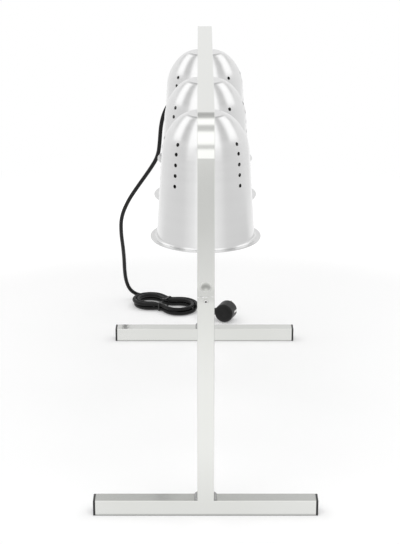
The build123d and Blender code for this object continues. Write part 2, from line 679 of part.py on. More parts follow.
for place, side in (("front", -1), ("rear", 1)):
    nodes[f"foot_tube_{place}"] = foot_tube(side * LEG_Y)
    nodes[f"foot_end_cap_{place}_left"] = end_cap(-1, side * LEG_Y)
    nodes[f"foot_end_cap_{place}_right"] = end_cap(1, side * LEG_Y)
    nodes[f"lower_leg_{place}"] = lower_leg(side)
    nodes[f"leg_spigot_{place}"] = spigot(side)
nodes["leg_screws"] = Compound(children=[joint_screw(-1), joint_screw(1)])
nodes["top_frame"] = top_frame()

for place, y, turn in LAMPS:
    nodes[f"lamp_shade_{place}"] = lamp_shade(y, turn)
    nodes[f"nipple_{place}"] = nipple(y)
    nodes[f"lock_washer_{place}"] = lock_washer(y)
    nodes[f"lock_nut_{place}"] = lock_nut(y)
    nodes[f"lamp_holder_{place}"] = lamp_holder(y)
    nodes[f"screw_shell_{place}"] = screw_shell(y)
    nodes[f"centre_contact_{place}"] = centre_contact(y)
    nodes[f"lamp_leads_{place}"] = lamp_leads(y)
    nodes[f"bulb_glass_{place}"] = bulb_glass(y)
    nodes[f"bulb_cap_{place}"] = bulb_cap(y)
    nodes[f"bulb_filament_{place}"] = bulb_filament(y)

nodes["cord_gland"] = cord_gland()
nodes["gland_nut"] = gland_nut()
nodes["cord_inner_end"] = cord_inner_end()
nodes["live_core"] = lamp_core(LIVE)
nodes["neutral_core"] = lamp_core(NEUTRAL)
nodes["earth_core"] = riser(EARTH, TAG_Y, BAR_FLOOR + TAG[2] + TAG_BARREL)
nodes["terminal_blocks"] = terminal_blocks()
nodes["earth_tag"] = earth_tag()

hank = hank_path()
lead_end = hank @ 0
lead_in = lead_end - (hank % 0) * ROUTE_LEAD_IN
cord_points = CORD_ROUTE + [tuple(lead_in), tuple(lead_end)]
cord_radii = route_radii(cord_points)
cord_path = FilletPolyline(*cord_points, radius=cord_radii)
leave = hank @ 1
lead_points = [
    tuple(leave),
    tuple(leave + (hank % 1) * LEAD_OUT),
    plug_place(PLUG_BOOT + LEAD_BEND),
    plug_place(PLUG_BOOT),
]
lead_radii = route_radii(lead_points)
lead_path = FilletPolyline(*lead_points, radius=lead_radii)
nodes["power_cord"] = wire_along(cord_path, CORD_R)
nodes["cord_hank"] = wire_along(hank, CORD_R)
nodes["plug_lead"] = wire_along(lead_path, CORD_R)
nodes["cable_tie"] = cable_tie()
nodes["plug_body"] = plug_body()
nodes["plug_pins"] = plug_pins()
nodes["plug_earth_clips"] = plug_earth_clips()

section = math.pi * CORD_R**2
for name, path in (("power_cord", cord_path), ("cord_hank", hank), ("plug_lead", lead_path)):
    share = nodes[name].volume / (section * path.length)
    print(name, "length", round(path.length, 1), "volume over section times length", round(share, 4))
print("cord bends", [round(r) for r in cord_radii], "lead bends", [round(r) for r in lead_radii])
print("hank's least gap to itself", round(least_gap(hank, 2 * CORD_R), 2))

os.makedirs("parts", exist_ok=True)
for name, shape in nodes.items():
    export_step(shape, f"parts/{name}.step")
print(len(nodes), "nodes")
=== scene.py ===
# %% [markdown]
# Food heat lamp
#
# A buffet heat lamp is a plain thing: a bent square tube on two feet, three spun aluminium shades that
# hang from it in a row, a heat bulb in each, and a black rubber cord. Its looks come almost wholly from
# how aluminium reflects a bright studio, so this lesson spends its effort on the studio, on satin and
# spun metal, and on a cord that lies like rubber.
#
# The construction arrives as a fixed frame in metres. Nothing in it is moved. Soft and small pieces are
# built here on top of it.

# %% Load the frame
import math

import bpy
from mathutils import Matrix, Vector


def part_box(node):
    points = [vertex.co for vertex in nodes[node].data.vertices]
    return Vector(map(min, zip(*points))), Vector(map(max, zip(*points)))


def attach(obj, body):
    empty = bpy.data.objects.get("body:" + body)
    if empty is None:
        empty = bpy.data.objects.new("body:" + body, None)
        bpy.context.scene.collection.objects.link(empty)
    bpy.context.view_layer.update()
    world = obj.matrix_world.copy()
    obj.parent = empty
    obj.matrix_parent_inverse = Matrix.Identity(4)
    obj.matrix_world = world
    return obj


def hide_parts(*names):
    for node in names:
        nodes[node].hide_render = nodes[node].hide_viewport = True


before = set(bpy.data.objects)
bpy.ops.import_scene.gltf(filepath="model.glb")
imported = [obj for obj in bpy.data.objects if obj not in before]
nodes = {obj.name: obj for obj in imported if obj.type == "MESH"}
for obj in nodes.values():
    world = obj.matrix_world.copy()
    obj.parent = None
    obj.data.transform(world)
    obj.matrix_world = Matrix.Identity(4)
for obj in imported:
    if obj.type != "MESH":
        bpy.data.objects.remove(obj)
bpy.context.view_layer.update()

MM = 0.001
LAMPS = ("front", "middle", "rear")

# %% [markdown]
# Camera
#
# The lamp is seen end on, along its row, from a little above. The camera could be placed by eye. But its
# place, tilt and focal length can be solved from edges whose sizes are known, and that is surer. They are
# written here as real distances, with the focal length in pixels of a picture 544 pixels tall.

# %% Camera
PICTURE_TALL = 544
FOCAL_PIXELS = 1688.8
SENSOR = 36.0
CAMERA_PLACE = Vector((-8.5, -2663.0, 1182.5)) * MM
CAMERA_TILT = 19.096

camera_data = bpy.data.cameras.new("camera")
camera_data.sensor_width = SENSOR
camera_data.lens = FOCAL_PIXELS * SENSOR / PICTURE_TALL
camera = bpy.data.objects.new("camera", camera_data)
camera.location = CAMERA_PLACE
camera.rotation_euler = (math.radians(90 - CAMERA_TILT), 0, 0)
bpy.context.scene.collection.objects.link(camera)
bpy.context.scene.camera = camera
bpy.context.scene.view_settings.view_transform = "Standard"
print("lens", round(camera_data.lens, 1), "mm")

# %% [markdown]
# Power cord
#
# The cord is 7.5 mm rubber flex. It comes out of the gland on the rear leg, falls behind the stand, and
# ends in a tied hank with the plug beside it. A swept tube with rounded corners would look like bent
# wire, so it is one smooth spline whose control points are the route. The hank's turns are more points
# of the same spline, worked out from two end loops and a waist.

# %% Cord route
CORD_RADIUS = 3.75
CORD_ROUTE = [
    (-32.5, 360.5, 476.0), (-45.0, 360.5, 476.0), (-57.5, 361.3, 470.6), (-68.0, 363.5, 457.5),
    (-76.8, 367.5, 437.0), (-81.3, 373.5, 413.0), (-83.3, 383.0, 384.0), (-87.0, 396.0, 353.0),
    (-102.5, 411.0, 323.5), (-124.5, 430.0, 288.0), (-147.0, 451.5, 249.5), (-162.0, 473.5, 209.0),
    (-163.5, 496.0, 169.0), (-161.0, 519.0, 132.0), (-160.3, 540.0, 101.0), (-160.5, 557.5, 69.5),
    (-158.5, 570.5, 44.0), (-152.5, 579.0, 23.7), (-140.5, 585.5, 10.5),
]
HANK_CENTRE = (-80.5, 531.0)
HANK_TURN = math.radians(-27.0)
HANK_END = 33.0
HANK_SIDE = 41.0
HANK_INNER = 22.5
HANK_STEP = 8.2
HANK_FLOOR = 5.05
HANK_LAYER = 8.0
HANK_RUNS = (1.5, 1.0, 0.5, 0.0, 0.5, 1.0, 1.5)
HANK_CLIMB = 3
HANK_START = math.radians(80.0)
HANK_LEAVE = math.radians(27.0)
START_WIDER, LEAVE_WIDER = 0.1, 0.17
START_POINTS, WAIST_POINTS, LOOP_POINTS, LEAVE_POINTS = 4, 6, 11, 5
LOOP_ANGLE = math.pi - math.atan2(HANK_SIDE, HANK_END)
WAIST_ANGLE = math.atan2(HANK_END, HANK_SIDE)


def hank_place(u, w, z):
    """A point given along the hank, across it and above the floor."""
    x = HANK_CENTRE[0] + u * math.cos(HANK_TURN) - w * math.sin(HANK_TURN)
    y = HANK_CENTRE[1] + u * math.sin(HANK_TURN) + w * math.cos(HANK_TURN)
    return Vector((x, y, z))


def loop_point(end, angle, steps, z):
    """A point on an end loop: end is -1 at the left and 1 at the right."""
    radius = HANK_INNER + steps * HANK_STEP
    return hank_place(end * (HANK_END + radius * math.cos(angle)), radius * math.sin(angle), z)


def shares(count):
    """Even shares of the way, from just after the start to the end."""
    return [(i + 1) / count for i in range(count)]


def hank_points():
    """The whole hank: into the first loop, run by run across the waist, and out of the last loop."""
    waist_reach = math.hypot(HANK_END, HANK_SIDE)
    low, high = HANK_FLOOR, HANK_FLOOR + HANK_LAYER
    points = []
    for share in (0.0, *shares(START_POINTS)):
        angle = HANK_START + share * (LOOP_ANGLE - HANK_START)
        points.append(loop_point(-1, angle, HANK_RUNS[0] + START_WIDER * (1 - share), low))
    for run, steps in enumerate(HANK_RUNS):
        side = 1 if run % 2 == 0 else -1
        bend = waist_reach - HANK_INNER - steps * HANK_STEP
        for share in shares(WAIST_POINTS):
            angle = WAIST_ANGLE * (2 * share - 1)
            risen = (run > HANK_CLIMB) + (run == HANK_CLIMB) * share
            w = side * (HANK_SIDE - bend * math.cos(angle))
            points.append(hank_place(side * bend * math.sin(angle), w, low + risen * HANK_LAYER))
        if run + 1 < len(HANK_RUNS):
            for share in shares(LOOP_POINTS):
                angle = side * LOOP_ANGLE * (1 - 2 * share)
                between = steps + share * (HANK_RUNS[run + 1] - steps)
                points.append(loop_point(side, angle, between, high if run >= HANK_CLIMB else low))
    for share in shares(LEAVE_POINTS):
        angle = LOOP_ANGLE + share * (HANK_LEAVE - LOOP_ANGLE)
        points.append(loop_point(1, angle, HANK_RUNS[-1] + LEAVE_WIDER * share, high))
    return points


hank = hank_points()
print(len(hank), "points in the hank")

# %% [markdown]
# Plug lead
#
# The plug lies on its side close to the hank, so a short lead joins the two. A second curve would show its
# end. So the lead is the last part of the same spline. The route comes into the hank along the hank's own
# heading and leaves it the same way, or the spline would kink where the parts meet.

# %% Cord
PLUG_CENTRE = (36.5, 445.0)
PLUG_TURN = math.radians(-20.0)
PLUG_AXIS_Z = 18.7
BOOT_OUT = 28.0
BOOT_ASIDE = 11.0
LEAD_IN = 18.0
LEAD_OUT = 20.0
LEAD_BEND = 19.5


def boot_place(out):
    """A point on the line of the plug's boot, so far out from the plug's axis."""
    x = PLUG_CENTRE[0] - out * math.cos(PLUG_TURN) - BOOT_ASIDE * math.sin(PLUG_TURN)
    y = PLUG_CENTRE[1] - out * math.sin(PLUG_TURN) + BOOT_ASIDE * math.cos(PLUG_TURN)
    return Vector((x, y, PLUG_AXIS_Z))


heading_in = (hank[1] - hank[0]).normalized()
heading_out = (hank[-1] - hank[-2]).normalized()
straight = 2 * CORD_RADIUS
cord_points = [Vector(p) for p in CORD_ROUTE]
cord_points += [hank[0] - heading_in * (straight + LEAD_IN), hank[0] - heading_in * straight, *hank]
cord_points += [hank[-1] + heading_out * (straight + LEAD_OUT)]
cord_points += [boot_place(BOOT_OUT + LEAD_BEND), boot_place(BOOT_OUT)]

cord_curve = bpy.data.curves.new("power_cord_flex", "CURVE")
cord_curve.dimensions = "3D"
cord_curve.bevel_depth = CORD_RADIUS
cord_curve.bevel_resolution = 6
cord_curve.resolution_u = 8
cord_curve.use_fill_caps = True
spline = cord_curve.splines.new("NURBS")
spline.points.add(len(cord_points) - 1)
for point, place in zip(spline.points, cord_points):
    point.co = (*(place * MM), 1.0)
    point.radius = MM
spline.order_u = 3
spline.use_endpoint_u = True
cord = bpy.data.objects.new("power_cord_flex", cord_curve)
bpy.context.scene.collection.objects.link(cord)
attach(cord, "stand")
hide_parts("power_cord", "cord_hank", "plug_lead")
print("cord", round(spline.calc_length(), 3), "m along its spline")

# %% [markdown]
# Shader sums
#
# A finish is a small sum on each point of a surface. Its nodes could be placed and linked one by one, but
# a line such as `1 - mask` is easier to read. So a small class wraps one output of a shader node and turns
# each operator into a Math node. Every other node comes from its one method `make`.

# %% Shader helper
class Term:
    """One output of a shader node, which can be used in a sum like a number."""

    def __init__(self, tree, socket=None):
        self.tree = tree
        self.socket = socket

    def make(self, kind, settings=None, inputs=None, output=0):
        """A new node: its settings first, then the values or links of its sockets."""
        node = self.tree.nodes.new("ShaderNode" + kind)
        for name, value in (settings or {}).items():
            setattr(node, name, value)
        for name, value in (inputs or {}).items():
            if isinstance(value, Term):
                self.tree.links.new(value.socket, node.inputs[name])
            else:
                node.inputs[name].default_value = value
        return Term(self.tree, node.outputs[output] if node.outputs else None)

    def math(self, operation, first, second=0.0):
        return self.make("Math", {"operation": operation}, {0: first, 1: second})

    def __add__(self, other):
        return self.math("ADD", self, other)

    def __radd__(self, other):
        return self.math("ADD", other, self)

    def __sub__(self, other):
        return self.math("SUBTRACT", self, other)

    def __rsub__(self, other):
        return self.math("SUBTRACT", other, self)

    def __mul__(self, other):
        return self.math("MULTIPLY", self, other)

    def __rmul__(self, other):
        return self.math("MULTIPLY", other, self)

    def __truediv__(self, other):
        return self.math("DIVIDE", self, other)

    def __rtruediv__(self, other):
        return self.math("DIVIDE", other, self)

    def __pow__(self, other):
        return self.math("POWER", self, other)

    def __rpow__(self, other):
        return self.math("POWER", other, self)

    def __abs__(self):
        return self.math("ABSOLUTE", self)

    def at_most(self, other):
        return self.math("MINIMUM", self, other)

    def at_least(self, other):
        return self.math("MAXIMUM", self, other)

    def reach(self, other):
        """The distance to a point that is this far along one way and other along the next."""
        return (self * self + other * other) ** 0.5

    def ease(self, start, end, low=0.0, high=1.0):
        """A smooth step from low at start to high at end."""
        span = {"Value": self, "From Min": start, "From Max": end, "To Min": low, "To Max": high}
        return self.make("MapRange", {"interpolation_type": "SMOOTHSTEP"}, span)

    def past(self, edge, soft):
        """0 below the edge and 1 above it, with a soft change."""
        return self.ease(edge - soft, edge + soft)

    def band(self, start, end, soft):
        """1 between start and end, with soft edges."""
        return self.past(start, soft) * (1 - self.past(end, soft))

    def mix(self, first, second):
        """The colour first where this is 0 and second where it is 1."""
        # A Mix node has sockets for each kind of data: 6 and 7 take colours, and output 2 gives one.
        return self.make("Mix", {"data_type": "RGBA"}, {0: self, 6: first, 7: second}, output=2)

    def parts(self):
        """The three numbers of a vector."""
        split = self.make("SeparateXYZ", inputs={0: self}).socket.node
        return [Term(self.tree, socket) for socket in split.outputs]

    def scaled(self, x, y, z):
        """A vector with each of its numbers scaled."""
        return self.make("VectorMath", {"operation": "MULTIPLY"}, {0: self, 1: (x, y, z)})

    def noise(self, scale, detail=2.0, roughness=0.5):
        """Soft noise about 0.5, this being the place."""
        return self.make("TexNoise", inputs={"Vector": self, "Scale": scale, "Detail": detail,
                                             "Roughness": roughness})


def ray_kinds(start):
    """Three numbers, each 1 for its kind of ray: from the camera, through glass and off a mirror."""
    return [start.make("LightPath", output=kind)
            for kind in ("Is Camera Ray", "Is Transmission Ray", "Is Glossy Ray")]


print("sums ready")

# %% [markdown]
# Studio
#
# The bend of the frame and the round shades are mirrors that show the whole studio: a white sweep behind,
# a greyer ceiling, and strip lights overhead. They could all be built and lit, but then each would also
# change the light on everything else. So the world holds them, for mirrored rays alone. It is plain white
# to the camera, and a plain grey to the rays that light matt things.
#
# What a dome mirrors is best given by the place on the dome. So a direction is turned into two numbers:
# `turn` is the tangent of how far round the dome's axis the metal is that mirrors it, and `lean` is the
# sine of how far the metal there leans back from upright.

# %% World
CEILING, CEILING_BACK = 0.63, 0.175
CEILING_EVEN = (0.5, 1.5)
SWEEP, SWEEP_BACK = 0.83, 0.13
SWEEP_LEAN = 0.12
SWEEP_TOP, CEILING_START = 0.37, 0.62
LOOK_DOWN = math.radians(14.5)
LOOK_LEVEL, LOOK_RISE = math.cos(LOOK_DOWN), math.sin(LOOK_DOWN)
STRIPS_TURN = 0.04
LEVEL_LEAST, LENGTH_LEAST = 0.02, 0.01
WHITE = (1.0, 1.0, 1.0, 1.0)

world = bpy.data.worlds.new("studio")
world.use_nodes = True
world.node_tree.nodes.clear()
bpy.context.scene.world = world
start = Term(world.node_tree)
aside, back, height = start.make("TexCoord", output="Generated").parts()

turn = abs(aside / (LOOK_LEVEL - back).at_least(LEVEL_LEAST) + STRIPS_TURN)
length = (2 - back * (2 * LOOK_LEVEL) + height * (2 * LOOK_RISE)).at_least(LENGTH_LEAST) ** 0.5
lean = (height + LOOK_RISE) / length

above = (height + back * SWEEP_LEAN).ease(SWEEP_TOP, CEILING_START)
ceiling = CEILING - back * CEILING_BACK * (1 - turn.ease(*CEILING_EVEN))
sweep = SWEEP + back * SWEEP_BACK
tent = sweep * (1 - above) + ceiling * above
print("sweep and ceiling ready")

# %% [markdown]
# Strip lights
#
# Under strip lights a spun shade shows bright rays that spread from its crown. A straight strip would show
# in a dome as a crooked blot. So these strips curve: each follows the directions in which one radial band
# of a dome is mirrored, and shows there as a clean ray. The bend of the frame mirrors only the narrow
# middle of the middle strip, and gaps in that part give the bend its dark bands.

# %% Strips
STRIP = 1.28
FILL = 0.48
RAY_TOP, RAY_TOP_EDGE = 71.0, 1.0
MIDDLE_RAY, MIDDLE_RAY_EDGE = 24.0, 2.0
MIDDLE_RAY_FADE = (-0.2, 0.55)
BEND_WIDE = 8.0
BEND_GAPS = ((14.0, 20.5), (41.5, 53.0), (67.0, 90.0))
BEND_GAP_EDGE = 0.02
SIDE_RAY, SIDE_RAY_EDGE = 38.5, 0.06
SIDE_RAY_END, SIDE_RAY_END_EDGE = 52.0, 0.1
SIDE_RAY_FADE = (0.38, 0.52)
SIDE_RAY_SPREAD = 1.07


def sine(degrees):
    return math.sin(math.radians(degrees))


def tangent(degrees):
    return math.tan(math.radians(degrees))


bend = 1 - turn.ease(tangent(BEND_WIDE) / 2, tangent(BEND_WIDE) * 2)
middle_ray = 1 - turn.ease(tangent(MIDDLE_RAY - MIDDLE_RAY_EDGE), tangent(MIDDLE_RAY + MIDDLE_RAY_EDGE))
middle_ray = middle_ray * lean.ease(*MIDDLE_RAY_FADE).at_least(bend)
for low, high in BEND_GAPS:
    middle_ray = middle_ray * (1 - bend * lean.band(sine(low), sine(high), BEND_GAP_EDGE))

side_end = turn - lean ** 3 * SIDE_RAY_SPREAD
side_ray = turn.past(tangent(SIDE_RAY), SIDE_RAY_EDGE) * lean.ease(*SIDE_RAY_FADE)
side_ray = side_ray * (1 - side_end.past(tangent(SIDE_RAY_END), SIDE_RAY_END_EDGE))

below_top = 1 - lean.ease(sine(RAY_TOP - RAY_TOP_EDGE), sine(RAY_TOP + RAY_TOP_EDGE))
lit = middle_ray.at_least(side_ray) * below_top
tent = tent + lit * (STRIP - tent)

seen, through, mirrored = ray_kinds(start)
plain = (seen + through).at_most(1.0)
strength = plain + (1 - plain) * (mirrored * tent + (1 - mirrored) * FILL)
surround = start.make("Background", inputs={"Color": WHITE, "Strength": strength})
start.make("OutputWorld", inputs={0: surround})
print("world ready,", len(world.node_tree.nodes), "nodes")

# %% [markdown]
# Lamps
#
# Seven soft panels light the matt things: the floor, the cord and the plug. One bright lamp would do, but
# it would throw hard shadows. The metal doesn't mirror the panels, because the world already holds the
# lights that it shows.

# %% Lamps
LIT_SPOT = Vector((0.0, -0.27, 0.57))
POWER_PER_RADIANCE = 4

# name, direction from the front, height above the horizon, width and height as angles, distance, radiance
PANELS = [
    ("panel_over_back", 180.0, 70.0, 40.0, 24.0, 2.2, 1.25),
    ("panel_over_front", 0.0, 47.0, 72.0, 31.0, 2.2, 1.22),
    ("panel_over_left", -71.0, 64.0, 30.0, 20.0, 2.2, 1.18),
    ("panel_over_right", 71.0, 64.0, 30.0, 20.0, 2.2, 1.18),
    ("panel_left", -126.0, 36.5, 56.0, 17.0, 2.4, 1.20),
    ("panel_right", 126.0, 36.5, 56.0, 17.0, 2.4, 1.20),
    ("panel_front", 0.0, 0.5, 58.0, 19.0, 3.0, 1.20),
]


def cosine(degrees):
    return math.cos(math.radians(degrees))


def across(angle, away):
    """How wide a panel is that covers an angle at a distance."""
    return 2 * away * tangent(angle / 2)


for name, direction, rise, wide, tall, away, radiance in PANELS:
    lamp = bpy.data.lights.new(name, "AREA")
    lamp.shape = "RECTANGLE"
    lamp.size = across(wide, away)
    lamp.size_y = across(tall, away)
    lamp.energy = POWER_PER_RADIANCE * radiance * lamp.size * lamp.size_y
    level = cosine(rise)
    toward = Vector((sine(direction) * level, -cosine(direction) * level, sine(rise)))
    panel = bpy.data.objects.new(name, lamp)
    panel.location = LIT_SPOT + toward * away
    panel.rotation_euler = toward.to_track_quat("Z", "Y").to_euler()
    panel.visible_camera = False
    panel.visible_glossy = False
    bpy.context.scene.collection.objects.link(panel)
print(len(PANELS), "panels")

# %% [markdown]
# Floor
#
# The floor is a plain pale sheet that still takes the lamp's shadow. With light enough to make a matt
# sheet white, the metal would be too bright. So a part of it glows for the camera, and all of it away from
# the lamp. For the light that bounces it stays a matt sheet.
#
# Mirrored rays see levels of their own, because the tube shows the floor all down its length: white round
# the lamp but a little darker under it as painted shade, greyer at its flanks and far off, most of all
# straight ahead, and dark where a foot stands, as a painted contact shadow.

# %% Floor sheet
FLOOR_HALF = 2.6

floor_mesh = bpy.data.meshes.new("floor")
corners = [(x * FLOOR_HALF, y * FLOOR_HALF, 0) for x, y in ((-1, -1), (1, -1), (1, 1), (-1, 1))]
floor_mesh.from_pydata(corners, [], [(0, 1, 2, 3)])
floor = bpy.data.objects.new("floor", floor_mesh)
bpy.context.scene.collection.objects.link(floor)
print("floor", 2 * FLOOR_HALF, "m square")

# %% Floor as mirrors see it
FLOOR_SHADED_CLOSE, FLOOR_NEAR, CLOSE_ENDS = 0.92, 1.07, (0.36, 0.65)
FLOOR_LEFT, FLOOR_RIGHT, FLANKS = 0.80, 0.58, (-0.4, 0.4)
FLANK_STARTS, FLANK_ENDS = (0.2, 0.45), (0.35, 0.8)
FLOOR_AHEAD, FLOOR_FAR, FAR_AHEAD = 0.62, 0.32, (2.2, 2.6)
FLOOR_BESIDE, AHEAD_ENDS = 1.12, (0.1, 0.24)
FLOOR_ASIDE, FLOOR_BEHIND, BEHIND = 0.82, 0.88, (0.0, 1.0)
ASIDE_STARTS = (0.25, 0.78)
NEAR_ENDS = (0.8, 2.2)
PAINTED_CONTACT_SHADOW, CONTACT_SHADOW_ENDS = 0.30, (0.0, 0.008)

paper = bpy.data.materials.new("pale_floor")
paper.use_nodes = True
paper.node_tree.nodes.clear()
start = Term(paper.node_tree)
x, y, _ = start.make("TexCoord", output="Object").parts()
distance = x.reach(y)
sideways = abs(x) / distance

# Painted shade: right under the lamp, mirrored rays see the floor a little darker, as if in its shadow.
close = distance.ease(*CLOSE_ENDS, FLOOR_SHADED_CLOSE, FLOOR_NEAR)
flank = x.ease(*FLANKS, FLOOR_LEFT, FLOOR_RIGHT)
near = close + abs(x).ease(*FLANK_STARTS) * (1 - y.ease(*FLANK_ENDS)) * (flank - close)
ahead = sideways.ease(*AHEAD_ENDS, distance.ease(*FAR_AHEAD, FLOOR_AHEAD, FLOOR_FAR), FLOOR_BESIDE)
at_side = y.ease(*BEHIND, FLOOR_ASIDE, FLOOR_BEHIND)
outer = ahead + sideways.ease(*ASIDE_STARTS) * (at_side - ahead)
mirror_level = near + distance.ease(*NEAR_ENDS) * (outer - near)

# Painted shadow: mirrored rays see the floor dark in a narrow strip where a foot stands.
foot_low, foot_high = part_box("foot_tube_rear")
foot_middle, foot_half = (foot_low.y + foot_high.y) / 2, (foot_high.y - foot_low.y) / 2
from_foot = (abs(abs(y) - foot_middle) - foot_half).at_least(abs(x) - foot_high.x)
mirror_level = mirror_level * from_foot.ease(*CONTACT_SHADOW_ENDS, PAINTED_CONTACT_SHADOW, 1.0)
print("feet stand", round(foot_middle, 4), "m from the middle")

# %% Floor finish
PAPER = (0.90, 0.90, 0.90, 1.0)
GLOW, GLOW_SHARE = 2.0, 0.12
GLOW_ENDS = (0.75, 1.6)

seen, through, mirrored = ray_kinds(start)
plain = (seen + through).at_most(1.0) * (1 - mirrored)
far = distance.ease(*GLOW_ENDS)
white = GLOW - far * (GLOW - 1.0)
share = plain * (GLOW_SHARE + far * (1 - GLOW_SHARE)) + mirrored
matt = start.make("BsdfDiffuse", inputs={"Color": PAPER})
glow = start.make("Emission", inputs={"Strength": plain * white + mirrored * mirror_level})
sheet = start.make("MixShader", inputs={0: share.at_most(1.0), 1: matt, 2: glow})
start.make("OutputMaterial", inputs={0: sheet})
floor_mesh.materials.append(paper)
print("floor dressed")

# %% [markdown]
# Finishes
#
# Each kind of piece gets a finish of its own with the one shader that suits metal and plastic alike.
# One colour and one roughness all over would look like a toy, so even the plainest finish drifts a little
# in both. A few helpers make, feed and give out the finishes.

# %% Finish helpers
NOISE_RANGE = (0.3, 0.7)
BUMP_DEPTH = 0.0003


def finish(name, **constants):
    """A new material: its shader with plain values set, and a start for sums."""
    material = bpy.data.materials.new(name)
    material.use_nodes = True
    shader = material.node_tree.nodes["Principled BSDF"]
    for socket, value in constants.items():
        shader.inputs[socket.replace("_", " ")].default_value = value
    return material, Term(material.node_tree)


def feed(material, **terms):
    """Links sums to the shader's sockets."""
    shader = material.node_tree.nodes["Principled BSDF"]
    for socket, term in terms.items():
        material.node_tree.links.new(term.socket, shader.inputs[socket.replace("_", " ")])


def dress(material, *names):
    """Gives CAD solids their finish."""
    for name in names:
        slots = nodes[name].data.materials
        slots.clear()
        slots.append(material)


def grey(value, warm=0.0):
    """A grey, which is warmer with less blue."""
    return (value, value, value * (1 - warm), 1.0)


def bump(height, strength):
    """A surface that rises and falls with a number."""
    return height.make("Bump", inputs={"Strength": strength, "Distance": BUMP_DEPTH, "Height": height})


def clouded(name, dark, pale, roughness, scale, drift, **constants):
    """A plain finish that drifts between two colours, and in roughness by so much."""
    material, start = finish(name, **constants)
    clouds = start.make("TexCoord", output="Object").noise(scale, 3.0)
    feed(material, Base_Color=clouds.ease(*NOISE_RANGE).mix(dark, pale),
         Roughness=roughness + clouds * drift)
    return material


print("helpers ready")

# %% [markdown]
# Satin tube
#
# All the tube is satin anodised aluminium. A grey metal with one roughness would look like plastic, so
# the finish has the faint lines that extrusion leaves along each tube, a slow change in how matt it is,
# and a little bump. The lines run along X on a foot and along Z on a leg. The bent top frame keeps the
# direction of its legs.
#
# At its joint each leg has a seam, drawn as a broken dark line of painted shade in the gap, with a broken
# painted highlight on the cut edge just below it. Above it is a pressed dimple with dull metal and an arch
# of painted shade in its upper part. Round the seam the outer face is a little dull from handling. These
# marks are only millimetres tall, so they are sums on the distance to the seam and to the dimple, and need
# no image texture.

# %% Leg joints
JOINT_Z, SEAM_HALF = 0.352, 0.00035
SEAM_BREAKS, SEAM_BROKEN = 700.0, (0.42, 0.6)
CUT_EDGE_Z = 0.3512
CUT_EDGE_BREAKS, CUT_EDGE_BROKEN = 240.0, (0.48, 0.58)
DIMPLE_Z, DIMPLE_ENDS = 0.367, (0.00612, 0.00884)
DIMPLE_MATT = 0.55
ARCH_Z, ARCH_RADIUS, ARCH_SOFT = 0.3620, 0.0046, 0.0075
ARCH_STARTS = (-0.005, 0.006)
OUTER_HALF, OUTER_FACE = (0.355, 0.36), (0.3712, 0.3726)
LIP, LIP_SOFT = (0.3445, 0.3630), 0.005
SEAM_SHADE, ARCH_SHADE, LIP_GRIME = 0.35, 0.5, 0.13
EDGE_HIGHLIGHT, SHADE_AND_GRIME = grey(0.98), grey(0.12, 0.05)


def joint_marks(place, colour, matt):
    """The marks at a leg's joint, painted shade and a painted highlight among them, laid over its colour
    and roughness.
    """
    x, y, z = place.parts()
    # Painted highlight: a bright, broken line on the lower leg's top edge, as if it caught the light.
    cut_edge_highlight = 1 - abs(z - CUT_EDGE_Z).ease(2 * SEAM_HALF, 4 * SEAM_HALF)
    cut_edge_highlight = cut_edge_highlight * place.noise(CUT_EDGE_BREAKS, 1.0).ease(*CUT_EDGE_BROKEN)
    # Painted shade: a broken dark line in the gap of the seam.
    seam = 1 - abs(z - JOINT_Z).ease(SEAM_HALF, 2 * SEAM_HALF)
    seam = seam * place.noise(SEAM_BREAKS, 2.0).ease(*SEAM_BROKEN)
    # Painted shade: an arch in the upper part of the dimple, where its rim would shade it.
    arch = 1 - abs(x.reach(z - ARCH_Z) - ARCH_RADIUS).ease(0.0, ARCH_SOFT)
    arch = arch * (z - ARCH_Z).ease(*ARCH_STARTS) * abs(y).ease(*OUTER_HALF)
    lip = z.band(*LIP, LIP_SOFT) * abs(y).ease(*OUTER_FACE)
    # The dark mix is painted shade at the seam and in the dimple's arch, and grime on the handled face
    # round the seam.
    shade_and_grime = (seam * SEAM_SHADE).at_least(arch * ARCH_SHADE).at_least(lip * LIP_GRIME)
    dimple = 1 - x.reach(z - DIMPLE_Z).ease(*DIMPLE_ENDS)
    colour = shade_and_grime.mix(cut_edge_highlight.mix(colour, EDGE_HIGHLIGHT), SHADE_AND_GRIME)
    return colour, matt + dimple * DIMPLE_MATT


print("joint at", JOINT_Z, "m")

# %% Satin tube
TUBE_DARK = (0.783, 0.791, 0.762, 1.0)
TUBE_PALE = (0.812, 0.818, 0.795, 1.0)
TUBE_MATT, LINES_MATT, PATCHES_MATT = 0.13, 0.03, 0.06
TUBE_BUMP = 0.02
ALONG, ACROSS = 4.0, 1400.0
PATCHES, SPECKS = 7.0, 1500.0
LINES_SHARE, SPECKS_SHARE = 0.3, 0.5


def satin_tube(name, lengthways, leg=False):
    """Satin anodised tube with faint extrusion lines: lengthways scales the noise along each axis."""
    material, start = finish(name, Metallic=1.0)
    place = start.make("TexCoord", output="Object")
    lines = place.scaled(*lengthways).noise(1.0, 3.0, 0.6)
    patches = place.noise(PATCHES, 2.0)
    specks = place.noise(SPECKS, 1.0)
    tone = (LINES_SHARE * lines + (1 - LINES_SHARE) * patches).ease(*NOISE_RANGE)
    colour = tone.mix(TUBE_DARK, TUBE_PALE)
    matt = TUBE_MATT + LINES_MATT * lines + PATCHES_MATT * patches
    if leg:
        colour, matt = joint_marks(place, colour, matt)
    feed(material, Base_Color=colour, Roughness=matt, Normal=bump(lines + SPECKS_SHARE * specks, TUBE_BUMP))
    return material


